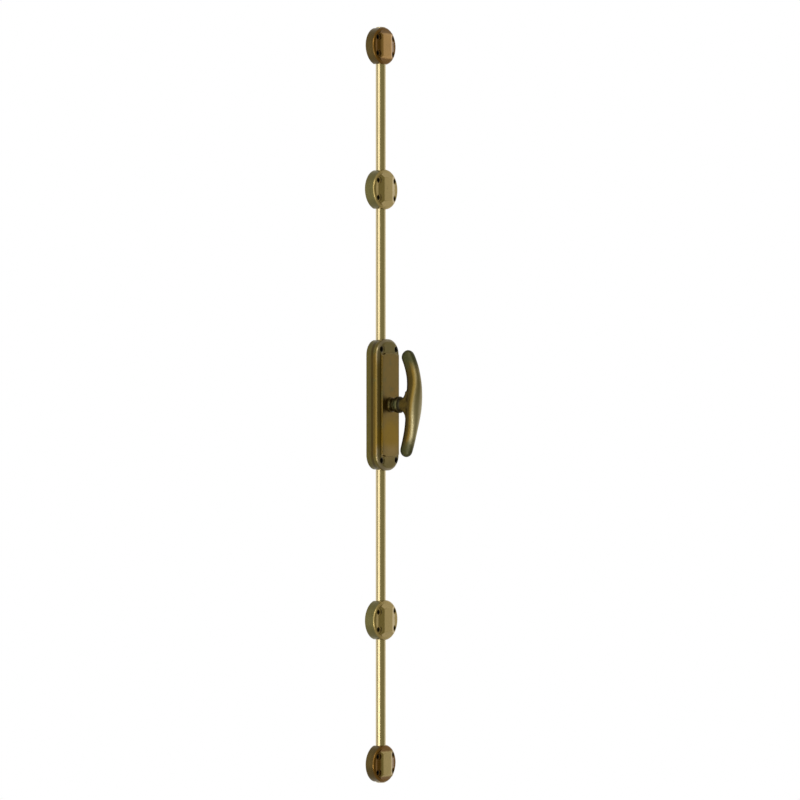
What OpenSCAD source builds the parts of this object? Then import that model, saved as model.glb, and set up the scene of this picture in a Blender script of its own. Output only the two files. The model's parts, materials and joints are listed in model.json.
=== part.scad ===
// Cremone bolt for a tall pair of doors or casements, in antique brass.
// A crescent handle turns a pinion between two racks, which throw one rod up and the other down.
// The origin is on the door behind the spindle. The front faces -Y, the door is at +Y and +Z is up.
// Pieces are drawn lying on the door's face, x to the right, y up and z outward, and then stood up.

/* [Case] */
// Height of the case
case_h = 165; // [150:1:200]
// Width of the case
case_w = 46; // [43:0.5:60]
// Depth of the case, from the door to the ledge round its panel
case_d = 20.5; // [19:0.5:28]
// Radius of the case's corners, seen from the front
case_corner_r = 20; // [14:0.5:21]
// Radius of the case's rounded front edge
case_edge_r = 5.5; // [2:0.5:6]
// Width of the raised panel
panel_w = 35.4; // [33:0.2:38]
// Length of the raised panel
panel_h = 129.6; // [115:0.2:140]
// Height of the raised panel above the ledge
panel_rise = 2; // [1:0.25:4]
// Radius of the scoop in each corner of the panel, round a fixing screw
scoop_r = 7; // [5.5:0.25:8]
// Distance of the fixing screws from the case's middle line
case_hole_x = 15.5; // [13:0.25:17]
// Distance of the fixing screws from the case's ends
case_hole_inset = 13; // [11:0.5:16]
// Diameter of the case's fixing holes
case_hole_d = 5.2; // [4:0.1:6]
// Diameter of the countersink on the case's fixing holes
case_sink_d = 9.6; // [7.5:0.1:11]
// Length of solid metal at each end of the case
end_block = 22.5; // [21:0.5:24]
// Length of the corner posts that hold the back plate's screws
post_len = 6.5; // [6:0.25:8]

/* [Back plate] */
// Thickness of the back plate
plate_t = 1.8; // [1.2:0.1:2]
// How far the back plate is set in from the case's back
plate_inset = 0.2; // [0.1:0.1:0.5]
// How far the back plate overlaps the rim of the case's pocket
plate_lap = 1.5; // [1:0.1:2]
// Diameter of the back plate's screws
plate_screw_d = 3; // [2:0.5:3]
// Diameter of the heads of the back plate's screws
plate_screw_head_d = 5.4; // [4.5:0.1:5.6]
// Length of the back plate's screws
plate_screw_len = 8; // [6:0.5:10]
// Width of the slots in the screw heads
slot_w = 0.7; // [0.5:0.1:1]

/* [Rods] */
// Diameter of the rods
rod_d = 12.7; // [11:0.1:14]
// Gap between the rods and the door
rod_lift = 0.3; // [0.2:0.1:1]
// How far the rods stand out of the end guides when they are drawn back
rod_proud = 0.3; // [0.1:0.1:10]
// Chamfer on the rods' tips
rod_chamfer = 1; // [0.5:0.1:3]

/* [Guides] */
// Distance from the spindle to the guides halfway along the rods
guide_z = 270; // [150:1:600]
// Diameter of the guides halfway along the rods
guide_d = 50; // [46:0.5:60]
// Distance from the spindle to the guides at the rods' ends
end_guide_z = 450; // [330:1:1200]
// Diameter of the guides at the rods' ends
end_guide_d = 47; // [45:0.5:60]
// Metal over the rod in the middle of a guide halfway along the rods
guide_cover = 5.8; // [5:0.1:8]
// Metal over the rod in the middle of a guide at the rods' ends
end_guide_cover = 4; // [4:0.1:8]
// Height of a guide's raised panel above its ledge
guide_step = 3; // [2:0.1:3.2]
// Radius of a guide's rounded front edge
guide_edge_r = 3; // [1:0.5:4]
// Width of the flat top of a guide's raised panel
guide_top_w = 16; // [14:0.5:20]
// Distance from the end of that flat top to the guide's edge
guide_top_end = 10.5; // [9:0.5:14]
// Width of the sloping flanks at the sides of a guide's raised panel
guide_flank = 9.5; // [5:0.5:10]
// Length of the sloping flanks at the ends of a guide's raised panel
guide_end_flank = 6.5; // [3:0.5:8]
// Distance of a guide's fixing holes from its edge
guide_hole_inset = 5.25; // [4.75:0.25:6]
// Angle of a guide's fixing holes above and below its middle
guide_hole_angle = 33.5; // [30:0.5:40]
// Diameter of a guide's fixing holes
guide_hole_d = 4.4; // [3.5:0.1:5]
// Diameter of the countersink on a guide's fixing holes
guide_sink_d = 7.6; // [6:0.1:8.5]

/* [Gear] */
// Gear module, the pitch diameter for each tooth
gear_module = 2; // [1.75:0.05:2.2]
// Teeth on the pinion, an even number
pinion_teeth = 12; // [10:2:12]
// Pressure angle of the teeth
pressure_angle = 25; // [22:0.5:28]
// Play between the teeth along the pitch line
backlash = 0.25; // [0.1:0.05:0.4]
// Thickness of the rack bars behind their teeth
rack_web = 3.7; // [2.5:0.1:4.2]
// Length of the bridge that joins a rack bar to its shank
bridge_len = 8.5; // [6:0.5:10]
// Diameter of the pinion's hub
hub_d = 17; // [15:0.5:18]
// Length of the pinion's hub in front of its teeth
hub_len = 3.3; // [2:0.1:5]
// Width of the pinion's key
key_w = 3; // [2:0.1:3.5]
// Diameter of the stud between a shank and its rod
stud_d = 5; // [4:0.5:6]
// How far a stud reaches into each of its two pieces
stud_reach = 14; // [10:0.5:16]
// Diameter of the cross pin through a shank and its stud
joint_pin_d = 2.5; // [1.5:0.1:3]

/* [Spindle] */
// Diameter of the spindle where it turns in the front bush
spindle_d = 10; // [9:0.1:11]
// Diameter of the spindle where it turns in the rear bush
rear_journal_d = 8; // [6:0.1:8.5]
// Width of the spindle's square end
square_w = 7; // [5.5:0.1:7]
// Length of the spindle's square end
square_len = 18.5; // [12:0.5:20]
// Diameter of the front bush where it shows
bush_d = 19; // [16:0.5:20]
// How far the front bush stands out of the panel
bush_proud = 8.9; // [6:0.1:12]
// Diameter of the front bush inside the case's wall
bush_spigot_d = 14; // [13:0.1:15]
// Diameter of the rear bush in the back plate
rear_bush_d = 12; // [11:0.1:14]
// Diameter of the rear bush's flange
rear_flange_d = 16; // [14:0.1:18]
// Thickness of the rear bush's flange
rear_flange_t = 1.2; // [1:0.1:1.5]
// Thickness of the retaining ring
ring_t = 0.9; // [0.7:0.1:1.2]
// Outer diameter of the retaining ring
ring_d = 15; // [13:0.5:16]
// Depth of the retaining ring's groove
ring_groove = 0.7; // [0.4:0.1:1]
// Outer diameter of the washers on the spindle
washer_d = 18.6; // [16:0.2:19.4]
// Thickness of the thrust washer
washer_t = 0.8; // [0.5:0.1:1]
// Thickness of the disc spring's metal
spring_t = 0.5; // [0.3:0.1:0.6]
// Height of the disc spring's cone
spring_rise = 0.3; // [0.2:0.1:0.5]

/* [Handle] */
// Distance from the panel to the grip's middle line where it stands out furthest
grip_reach = 36.2; // [34:0.1:50]
// Height of that furthest point above the spindle
grip_peak = 20; // [0:0.5:24]
// Radius of the bend in the grip's upper arm
grip_upper_r = 86; // [75:1:200]
// Radius of the bend in the grip's lower arm
grip_lower_r = 245; // [150:1:400]
// Height of the middle of the grip's upper tip above the spindle
grip_upper_end = 59.5; // [45:0.5:75]
// Depth of the middle of the grip's lower tip below the spindle
grip_lower_end = 56.5; // [45:0.5:75]
// Half thickness of the grip, front to back, at its furthest point
grip_half_t = 10.1; // [9:0.1:12]
// Half thickness of the grip at its tips
grip_tip_half_t = 8.6; // [6:0.1:12]
// How far the grip's round tips reach past the ends of its middle line
grip_tip_len = 9; // [5:0.5:12]
// Half width of the grip, side to side, at its neck
grip_half_w = 9.3; // [9:0.1:12]
// Half width of the grip's arms and tips
grip_arm_half_w = 5; // [4:0.1:9]
// Distance above and below the neck over which the grip narrows to its arms
grip_swell = 50; // [30:1:60]
// Diameter of the bead at the handle's foot
bead_d = 21; // [18:0.5:24]
// Length of the bead
bead_len = 7; // [6:0.1:9]
// Radius of the bead's rounded edges
bead_edge_r = 2.5; // [1:0.1:3]
// Diameter of the handle's neck
neck_d = 17.6; // [14:0.2:17.8]
// Radius of the hollow curve in which the neck spreads into the grip
flare_r = 9; // [3:0.5:9.5]
// Diameter of the set screw
set_screw_d = 4; // [3:0.5:5]

/* [Fits] */
// Gap all round a piece that turns or slides in a bore
run_fit = 0.05; // [0.03:0.01:0.1]
// Gap all round a piece that is pressed into a bore
press_gap = 0.02; // [0.01:0.01:0.03]
// Gap between faces that pass each other
face_gap = 0.3; // [0.2:0.05:0.4]
// Gap between a rack and what it slides along
slide_gap = 0.4; // [0.25:0.05:0.5]

/* [Hidden] */
$fn = 64;

cast_brass = [0.46, 0.40, 0.26];
rod_brass = [0.62, 0.54, 0.38];
bush_bronze = [0.66, 0.48, 0.28];
plated_steel = [0.70, 0.71, 0.72];
dark_steel = [0.36, 0.37, 0.39];

// Spare length with which a cut runs past the face it opens
over = 1;

// Case
panel_z = case_d + panel_rise;
corner_x = case_w / 2 - case_corner_r;
corner_y = case_h / 2 - case_corner_r;
case_hole_y = case_h / 2 - case_hole_inset;

// Rods
rod_axis = rod_lift + rod_d / 2;
slot_r = rod_d / 2 + run_fit;
rod_tip = end_guide_z + end_guide_d / 2 + rod_proud;

// Racks and pinion, with the rack bars as deep as the rods' axis leaves room for behind it
plate_z = plate_inset + plate_t;
rack_back_z = plate_z + slide_gap;
rack_half_t = rod_axis - rack_back_z;
rack_front_z = rod_axis + rack_half_t;
rail_z = rack_front_z + slide_gap;
gear_addendum = 0.9 * gear_module;
gear_dedendum = 1.15 * gear_module;
pitch_r = gear_module * pinion_teeth / 2;
tooth_pitch = PI * gear_module;
tooth_width = (tooth_pitch - backlash) / 2;
gear_tip_r = pitch_r + gear_addendum;
gear_root_r = pitch_r - gear_dedendum;
gear_base_r = pitch_r * cos(pressure_angle);
quarter_turn = PI / 2;
throw_len = pitch_r * quarter_turn;
rack_back = pitch_r + gear_dedendum + rack_web;
rack_root_x = pitch_r + gear_dedendum;
rack_tip_x = pitch_r - gear_addendum;
rack_root_half = tooth_width / 2 + gear_dedendum * tan(pressure_angle);
rack_tip_half = tooth_width / 2 - gear_addendum * tan(pressure_angle);
// Teeth past the pinion's middle on each side, drawn back and thrown
teeth_ahead = 2;
teeth_behind = teeth_ahead + ceil(throw_len / tooth_pitch);
rack_foot = teeth_behind * tooth_pitch + slide_gap;
bridge_lo = gear_tip_r + 4 * slide_gap;
bridge_hi = bridge_lo + bridge_len;

// Pocket of the case
pocket_x = rack_back + slide_gap;
pocket_y = case_h / 2 - end_block;
post_y = pocket_y - post_len;
core_x = washer_d / 2 + 2 * slide_gap;
plate_x = pocket_x + plate_lap;
plate_y = pocket_y + plate_lap;
plate_screw_x = (pocket_x + core_x) / 2;
plate_screw_y = pocket_y - post_len / 2;
plate_sink = (plate_screw_head_d - plate_screw_d) / 2;

// Joint between shank and rod, just clear of the back plate
joint_y = plate_y + 2 * slide_gap;
shank_half = sqrt(pow(slot_r - face_gap / 2, 2) - pow(rack_half_t, 2));
joint_pin_y = joint_y - stud_reach / 2;

// Stack of pieces on the spindle, from the door outward
spindle_back = plate_inset + face_gap;
shoulder_z = plate_z + rear_flange_t + face_gap / 2;
ring_z = shoulder_z + 2 * face_gap;
pinion_z = ring_z + ring_t + 2 * run_fit;
hub_z = rack_front_z + hub_len;
spring_z = hub_z + run_fit;
washer_z = spring_z + spring_t + spring_rise + run_fit;
core_z = washer_z + washer_t + run_fit;
bush_z = panel_z + bush_proud;
square_z = bush_z + run_fit;
square_tip = square_z + square_len;
key_in = spindle_d / 2 - key_w / 2;
key_out = spindle_d / 2 + key_w / 2;

// Handle
bead_z = bush_z + face_gap;
neck_z = bead_z + bead_len;
peak_z = panel_z + grip_reach;
flare_z = peak_z - grip_half_t - flare_r;
flare_half_w = grip_half_w * 2 / 3;
grip_sides = 24;
tip_rings = 5;
tip_limit = 80;
upper_bend = asin((grip_upper_end - grip_peak) / grip_upper_r);
lower_bend = asin((grip_lower_end + grip_peak) / grip_lower_r);
upper_rings = 10;
lower_rings = 14;

// Stands a piece that was drawn lying on the door's face
module stand() {
    rotate([90, 0, 0])
        children();
}

// Turns a piece of the upper half into its partner in the lower half
module lower_half() {
    rotate([0, 180, 0])
        children();
}

// Section of a wall whose outer front corner is rounded
module rounded_wall(reach, depth, edge_r) {
    square([reach - edge_r, depth]);
    square([reach, depth - edge_r]);
    translate([reach - edge_r, depth - edge_r])
        intersection() {
            circle(edge_r);
            square(edge_r);
        }
}

// Hole for a countersunk screw whose head lies at the height front
module countersunk_hole(hole_d, sink_d, front) {
    sink = (sink_d - hole_d) / 2;
    translate([0, 0, -over])
        cylinder(d = hole_d, h = front + 2 * over);
    translate([0, 0, front - sink])
        cylinder(d1 = hole_d, d2 = sink_d + 2 * over, h = sink + over);
}

// Section of the channel that a rod slides in, open towards the door
module rod_slot_section() {
    translate([-slot_r, -over])
        square([2 * slot_r, rod_axis + over]);
    translate([0, rod_axis])
        intersection() {
            circle(slot_r);
            translate([-slot_r, 0])
                square([2 * slot_r, slot_r]);
        }
}

// Channel for a rod between two heights
module rod_slot(low, high) {
    translate([0, high, 0])
        rotate([90, 0, 0])
            linear_extrude(high - low)
                rod_slot_section();
}

// Box that is centred across and along, and reaches from one depth to another
module slab(half_x, half_y, low, high) {
    translate([-half_x, -half_y, low])
        cube([2 * half_x, 2 * half_y, high - low]);
}

// Copies a piece to the four places (x, y), (-x, y), (x, -y) and (-x, -y)
module four_corners(x, y) {
    for (side = [-1, 1], end = [-1, 1])
        translate([side * x, end * y, 0])
            children();
}

// Solid outside of the case, with round corners and a rounded front edge
module case_block() {
    for (flip_x = [0, 1], flip_y = [0, 1])
        mirror([flip_x, 0, 0])
            mirror([0, flip_y, 0])
                translate([corner_x, corner_y, 0])
                    rotate_extrude(angle = 90)
                        rounded_wall(case_corner_r, case_d, case_edge_r);
    for (flip_x = [0, 1])
        mirror([flip_x, 0, 0])
            translate([corner_x, corner_y, 0])
                rotate([90, 0, 0])
                    linear_extrude(2 * corner_y)
                        rounded_wall(case_corner_r, case_d, case_edge_r);
    for (flip_y = [0, 1])
        mirror([0, flip_y, 0])
            translate([-corner_x, corner_y, 0])
                rotate([90, 0, 90])
                    linear_extrude(2 * corner_x)
                        rounded_wall(case_corner_r, case_d, case_edge_r);
    slab(corner_x, corner_y, 0, case_d);
}

// Raised panel with a scoop in each corner
module case_panel() {
    translate([0, 0, case_d - case_edge_r / 2])
        linear_extrude(panel_rise + case_edge_r / 2)
            difference() {
                square([panel_w, panel_h], center = true);
                four_corners(case_hole_x, case_hole_y)
                    circle(scoop_r);
            }
}

module case_shell() {
    color(cast_brass)
        stand()
            difference() {
                union() {
                    case_block();
                    case_panel();
                }
                slab(pocket_x, post_y, -over, rail_z);
                slab(core_x, pocket_y, -over, core_z);
                slab(plate_x + press_gap, plate_y + press_gap, -over, plate_z);
                rod_slot(pocket_y - over, case_h / 2 + over);
                rod_slot(-case_h / 2 - over, -pocket_y + over);
                four_corners(case_hole_x, case_hole_y)
                    countersunk_hole(case_hole_d, case_sink_d, case_d);
                four_corners(plate_screw_x, plate_screw_y)
                    cylinder(d = plate_screw_d + 2 * press_gap, h = plate_inset + plate_screw_len + over);
                translate([0, 0, core_z - over])
                    cylinder(d = bush_spigot_d + 2 * press_gap, h = panel_z - core_z + 2 * over);
            }
}

module back_plate() {
    color(plated_steel)
        stand()
            difference() {
                slab(plate_x, plate_y, plate_inset, plate_z);
                cylinder(d = rear_bush_d + 2 * press_gap, h = plate_z + over);
                four_corners(plate_screw_x, plate_screw_y) {
                    cylinder(d = plate_screw_d + 2 * press_gap, h = plate_z + over);
                    translate([0, 0, plate_inset])
                        cylinder(d1 = plate_screw_head_d + 2 * press_gap, d2 = plate_screw_d + 2 * press_gap,
                                 h = plate_sink);
                }
            }
}

module back_plate_screws() {
    color(plated_steel)
        stand()
            four_corners(plate_screw_x, plate_screw_y)
                translate([0, 0, plate_inset])
                    difference() {
                        union() {
                            cylinder(d1 = plate_screw_head_d, d2 = plate_screw_d, h = plate_sink);
                            cylinder(d = plate_screw_d, h = plate_screw_len);
                        }
                        slab(slot_w / 2, plate_screw_head_d, -over, plate_sink / 2);
                    }
}

module front_bush() {
    color(cast_brass)
        stand()
            difference() {
                union() {
                    translate([0, 0, core_z])
                        cylinder(d = bush_spigot_d, h = panel_z + over - core_z);
                    translate([0, 0, panel_z])
                        cylinder(d = bush_d, h = bush_proud);
                }
                cylinder(d = spindle_d + 2 * run_fit, h = bush_z + over);
            }
}

module rear_bush() {
    color(bush_bronze)
        stand()
            difference() {
                union() {
                    translate([0, 0, plate_inset])
                        cylinder(d = rear_bush_d, h = plate_t + rear_flange_t);
                    translate([0, 0, plate_z])
                        cylinder(d = rear_flange_d, h = rear_flange_t);
                }
                cylinder(d = rear_journal_d + 2 * run_fit, h = shoulder_z + over);
            }
}

// Sloping block with a flat top, from two sections that cross
module fielded_panel(top_w, top_l, side_flank, end_flank, rise) {
    intersection() {
        translate([0, top_l / 2 + end_flank, 0])
            rotate([90, 0, 0])
                linear_extrude(top_l + 2 * end_flank)
                    polygon([[-top_w / 2 - side_flank, 0], [top_w / 2 + side_flank, 0],
                             [top_w / 2, rise], [-top_w / 2, rise]]);
        translate([-top_w / 2 - side_flank, 0, 0])
            rotate([90, 0, 90])
                linear_extrude(top_w + 2 * side_flank)
                    polygon([[-top_l / 2 - end_flank, 0], [top_l / 2 + end_flank, 0],
                             [top_l / 2, rise], [-top_l / 2, rise]]);
    }
}

// Round guide for a rod: a rounded disc with a raised panel, bored for the rod and for four screws
module guide(diameter, cover) {
    top = rod_axis + slot_r + cover;
    ledge = top - guide_step;
    top_len = diameter - 2 * guide_top_end;
    hole_r = diameter / 2 - guide_hole_inset;
    difference() {
        union() {
            rotate_extrude()
                rounded_wall(diameter / 2, ledge, guide_edge_r);
            intersection() {
                translate([0, 0, ledge])
                    fielded_panel(guide_top_w, top_len, guide_flank, guide_end_flank, guide_step);
                cylinder(d = diameter - 2 * guide_edge_r, h = top + over);
            }
        }
        rod_slot(-diameter, diameter);
        four_corners(hole_r * cos(guide_hole_angle), hole_r * sin(guide_hole_angle)) {
            countersunk_hole(guide_hole_d, guide_sink_d, ledge);
            translate([0, 0, ledge])
                cylinder(d = guide_sink_d + 2 * slide_gap, h = guide_step + over);
        }
    }
}

module guide_at(height, diameter, cover) {
    color(cast_brass)
        translate([0, 0, height])
            stand()
                guide(diameter, cover);
}

module upper_end_guide() {
    guide_at(end_guide_z, end_guide_d, end_guide_cover);
}

module upper_guide() {
    guide_at(guide_z, guide_d, guide_cover);
}

module lower_guide() {
    guide_at(-guide_z, guide_d, guide_cover);
}

module lower_end_guide() {
    guide_at(-end_guide_z, end_guide_d, end_guide_cover);
}

// Middle line of the grip in its depth and height, at a bend measured from its furthest point
function spine(bend) =
    let (r = bend > 0 ? grip_upper_r : grip_lower_r)
    [peak_z - r * (1 - cos(bend)), grip_peak + r * sin(bend)];

// Share of the way from the furthest point to a tip
function share(bend) = bend > 0 ? bend / upper_bend : -bend / lower_bend;

// Half width of the grip at a height above the spindle
function grip_width_at(height) =
    let (swell = (1 + cos(180 * min(1, abs(height) / grip_swell))) / 2)
    grip_arm_half_w + (grip_half_w - grip_arm_half_w) * swell;

// One ring of the grip's skin: its middle slides past the spine's end by slip, and its section shrinks
function grip_ring(bend, slip, shrink) =
    let (
        middle = spine(bend),
        half_t = shrink * (grip_half_t + (grip_tip_half_t - grip_half_t) * share(bend)),
        half_w = shrink * grip_width_at(middle[1])
    )
    [for (i = [0:grip_sides - 1])
        let (
            turn = 360 * i / grip_sides,
            out = half_t * sin(turn)
        )
        [half_w * cos(turn),
         middle[1] + out * sin(bend) + slip * cos(bend),
         middle[0] + out * cos(bend) - slip * sin(bend)]];

// Rings that round off a tip, listed outward
function tip_cap(bend, way) =
    [for (i = [1:tip_rings])
        let (lean = tip_limit * i / tip_rings)
        grip_ring(bend, way * grip_tip_len * sin(lean), cos(lean))];

function reversed(list) = [for (i = [len(list) - 1:-1:0]) list[i]];

grip_rings = concat(
    reversed(tip_cap(-lower_bend, -1)),
    [for (i = [0:lower_rings]) grip_ring(-lower_bend * (1 - i / lower_rings), 0, 1)],
    [for (i = [1:upper_rings]) grip_ring(upper_bend * i / upper_rings, 0, 1)],
    tip_cap(upper_bend, 1)
);

// Skin over a list of rings with as many points each, closed by a flat face at both ends
module loft(rings) {
    sides = len(rings[0]);
    last = len(rings) - 1;
    function at(ring, i) = ring * sides + i % sides;
    polyhedron(
        points = [for (ring = rings) each ring],
        faces = concat(
            [[for (i = [sides - 1:-1:0]) at(0, i)]],
            [for (ring = [0:last - 1], i = [0:sides - 1])
                each [[at(ring, i), at(ring + 1, i + 1), at(ring + 1, i)],
                      [at(ring, i), at(ring, i + 1), at(ring + 1, i + 1)]]],
            [[for (i = [0:sides - 1]) at(last, i)]]
        )
    );
}

// Section of the hollow curve in which the neck spreads into the grip
module flare_section() {
    difference() {
        square([neck_d / 2 + flare_r, flare_r + grip_half_t * 2 / 5]);
        translate([neck_d / 2 + flare_r, 0])
            circle(flare_r);
    }
}

// Section of the bead, with both its edges rounded
module bead_section() {
    square([bead_d / 2 - bead_edge_r, bead_len]);
    translate([0, bead_edge_r])
        square([bead_d / 2, bead_len - 2 * bead_edge_r]);
    for (flip = [0, 1])
        translate([bead_d / 2 - bead_edge_r, flip * bead_len])
            mirror([0, flip])
                translate([0, bead_edge_r])
                    intersection() {
                        circle(bead_edge_r);
                        translate([0, -bead_edge_r])
                            square(bead_edge_r);
                    }
}

module handle() {
    color(cast_brass)
        stand()
            difference() {
                union() {
                    loft(grip_rings);
                    intersection() {
                        translate([0, 0, flare_z])
                            rotate_extrude()
                                flare_section();
                        slab(flare_half_w, grip_upper_end, flare_z - over, peak_z);
                    }
                    translate([0, 0, neck_z - over])
                        cylinder(d = neck_d, h = peak_z - grip_half_t / 4 - neck_z);
                    translate([0, 0, bead_z])
                        rotate_extrude()
                            bead_section();
                }
                slab(square_w / 2 + run_fit, square_w / 2 + run_fit, bead_z - over, square_tip + face_gap);
                translate([0, 0, bead_z + bead_len / 2])
                    rotate([90, 0, 0])
                        cylinder(d = set_screw_d + 2 * run_fit, h = bead_d);
            }
}

module spindle() {
    color(plated_steel)
        stand()
            difference() {
                union() {
                    translate([0, 0, spindle_back])
                        cylinder(d = rear_journal_d, h = square_z - spindle_back);
                    translate([0, 0, shoulder_z])
                        cylinder(d = spindle_d, h = square_z - shoulder_z);
                    slab(square_w / 2, square_w / 2, square_z - over, square_tip);
                }
                translate([0, 0, ring_z])
                    difference() {
                        cylinder(d = spindle_d + over, h = ring_t + run_fit);
                        translate([0, 0, -over])
                            cylinder(d = spindle_d - 2 * ring_groove, h = ring_t + 2 * over);
                    }
                translate([-key_w / 2 - press_gap, key_in - press_gap, pinion_z + face_gap - press_gap])
                    cube([key_w + 2 * press_gap, key_w, hub_z - pinion_z - 2 * face_gap + 2 * press_gap]);
            }
}

// Half the angle that a pinion tooth spans at a radius on its flank
function roll(r) = sqrt(pow(r / gear_base_r, 2) - 1);
function flank_angle(r) = roll(r) * 180 / PI - atan(roll(r));
function tooth_half_angle(r) =
    tooth_width / 2 / pitch_r * 180 / PI + flank_angle(pitch_r) - flank_angle(r);

module pinion_teeth_outline() {
    steps = 6;
    radii = [for (i = [0:steps]) gear_base_r + (gear_tip_r - gear_base_r) * i / steps];
    polygon([for (tooth = [0:pinion_teeth - 1])
        let (
            middle = 360 * tooth / pinion_teeth,
            foot = tooth_half_angle(gear_base_r)
        )
        each concat(
            [gear_root_r * [cos(middle - foot), sin(middle - foot)]],
            [for (r = radii)
                let (turn = middle - tooth_half_angle(r)) r * [cos(turn), sin(turn)]],
            [for (r = reversed(radii))
                let (turn = middle + tooth_half_angle(r)) r * [cos(turn), sin(turn)]],
            [gear_root_r * [cos(middle + foot), sin(middle + foot)]]
        )]);
}

module pinion() {
    color(bush_bronze)
        stand()
            difference() {
                union() {
                    translate([0, 0, pinion_z])
                        linear_extrude(rack_front_z - pinion_z)
                            pinion_teeth_outline();
                    translate([0, 0, pinion_z])
                        cylinder(d = hub_d, h = hub_z - pinion_z);
                }
                cylinder(d = spindle_d + 2 * run_fit, h = hub_z + over);
                translate([-key_w / 2 - press_gap, 0, pinion_z - over])
                    cube([key_w + 2 * press_gap, key_out + press_gap, hub_z - pinion_z + 2 * over]);
            }
}

module pinion_key() {
    color(dark_steel)
        stand()
            translate([-key_w / 2, key_in, pinion_z + face_gap])
                cube([key_w, key_w, hub_z - pinion_z - 2 * face_gap]);
}

module retaining_ring() {
    color(dark_steel)
        stand()
            translate([0, 0, ring_z + run_fit / 2])
                difference() {
                    cylinder(d = ring_d, h = ring_t);
                    translate([0, 0, -over])
                        cylinder(d = spindle_d - 2 * ring_groove + 2 * run_fit, h = ring_t + 2 * over);
                    translate([0, -ring_d / 2, 0])
                        cube([rear_journal_d - 2 * ring_groove, ring_d, 4 * ring_t], center = true);
                }
}

module disc_spring() {
    color(dark_steel)
        stand()
            translate([0, 0, spring_z])
                rotate_extrude()
                    polygon([[spindle_d / 2 + 2 * run_fit, 0],
                             [washer_d / 2, spring_rise],
                             [washer_d / 2, spring_rise + spring_t],
                             [spindle_d / 2 + 2 * run_fit, spring_t]]);
}

module thrust_washer() {
    color(bush_bronze)
        stand()
            translate([0, 0, washer_z])
                difference() {
                    cylinder(d = washer_d, h = washer_t);
                    translate([0, 0, -over])
                        cylinder(d = spindle_d + 4 * run_fit, h = washer_t + 2 * over);
                }
}

module handle_set_screw() {
    screw_len = (bead_d - square_w) / 2 - 3 * run_fit - bead_edge_r / 4;
    color(dark_steel)
        stand()
            translate([0, -square_w / 2 - run_fit, bead_z + bead_len / 2])
                rotate([90, 0, 0])
                    difference() {
                        cylinder(d = set_screw_d, h = screw_len);
                        translate([0, 0, screw_len / 2])
                            cylinder(d = set_screw_d / 2, h = screw_len, $fn = 6);
                    }
}

// Round bar along the rods' axis between two heights
module bar(diameter, low, high) {
    translate([0, low, rod_axis])
        rotate([-90, 0, 0])
            cylinder(d = diameter, h = high - low);
}

module rod_piece() {
    color(rod_brass)
        stand()
            difference() {
                union() {
                    bar(rod_d, joint_y, rod_tip - rod_chamfer);
                    translate([0, rod_tip - rod_chamfer, rod_axis])
                        rotate([-90, 0, 0])
                            cylinder(d1 = rod_d, d2 = rod_d - 2 * rod_chamfer, h = rod_chamfer);
                }
                bar(stud_d + 2 * run_fit, joint_y - over, joint_y + stud_reach + face_gap);
            }
}

// Outline of the upper rod's rack, whose teeth face the pinion from the left
module rack_outline() {
    polygon(concat(
        [[-rack_back, -rack_foot], [-rack_root_x, -rack_foot]],
        [for (i = [-teeth_behind:teeth_ahead - 1])
            let (middle = (i + 1 / 2) * tooth_pitch)
            each [[-rack_root_x, middle - rack_root_half], [-rack_tip_x, middle - rack_tip_half],
                  [-rack_tip_x, middle + rack_tip_half], [-rack_root_x, middle + rack_root_half]]],
        [[-rack_root_x, bridge_lo], [shank_half, bridge_lo], [shank_half, joint_y],
         [-shank_half, joint_y], [-shank_half, bridge_hi], [-rack_back, bridge_hi]]
    ));
}

module rack_piece() {
    color(bush_bronze)
        stand()
            difference() {
                translate([0, 0, rack_back_z])
                    linear_extrude(2 * rack_half_t)
                        rack_outline();
                bar(stud_d + 2 * run_fit, joint_y - stud_reach - face_gap, joint_y + over);
                translate([0, joint_pin_y, 0])
                    cylinder(d = joint_pin_d + 2 * press_gap, h = rack_front_z + over);
            }
}

module stud_piece() {
    color(plated_steel)
        stand()
            difference() {
                bar(stud_d, joint_y - stud_reach, joint_y + stud_reach);
                translate([0, joint_pin_y, 0])
                    cylinder(d = joint_pin_d + 2 * press_gap, h = rack_front_z + over);
            }
}

module pin_piece() {
    color(dark_steel)
        stand()
            translate([0, joint_pin_y, rack_back_z])
                cylinder(d = joint_pin_d, h = 2 * rack_half_t);
}

module upper_rod() {
    rod_piece();
}

module upper_rack() {
    rack_piece();
}

module upper_rod_stud() {
    stud_piece();
}

module upper_joint_pin() {
    pin_piece();
}

module lower_rod() {
    lower_half()
        rod_piece();
}

module lower_rack() {
    lower_half()
        rack_piece();
}

module lower_rod_stud() {
    lower_half()
        stud_piece();
}

module lower_joint_pin() {
    lower_half()
        pin_piece();
}

case_shell();
back_plate();
back_plate_screws();
front_bush();
rear_bush();
upper_end_guide();
upper_guide();
lower_guide();
lower_end_guide();
handle();
spindle();
pinion();
pinion_key();
retaining_ring();
disc_spring();
thrust_washer();
handle_set_screw();
upper_rod();
upper_rack();
upper_rod_stud();
upper_joint_pin();
lower_rod();
lower_rack();
lower_rod_stud();
lower_joint_pin();
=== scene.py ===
# %% [markdown]
# A cremone bolt locks a tall pair of doors or casements. A crescent handle turns a pinion inside a slim
# case, and two racks throw one round rod up and the other down, through round guides screwed to the door.
# The real sizes come from a finished solid model, which is loaded first and never moved. This lesson dresses
# it: the castings and rods are modelled again with soft edges, every piece gets a finish made of shader
# nodes, and a small studio lights them.

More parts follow.
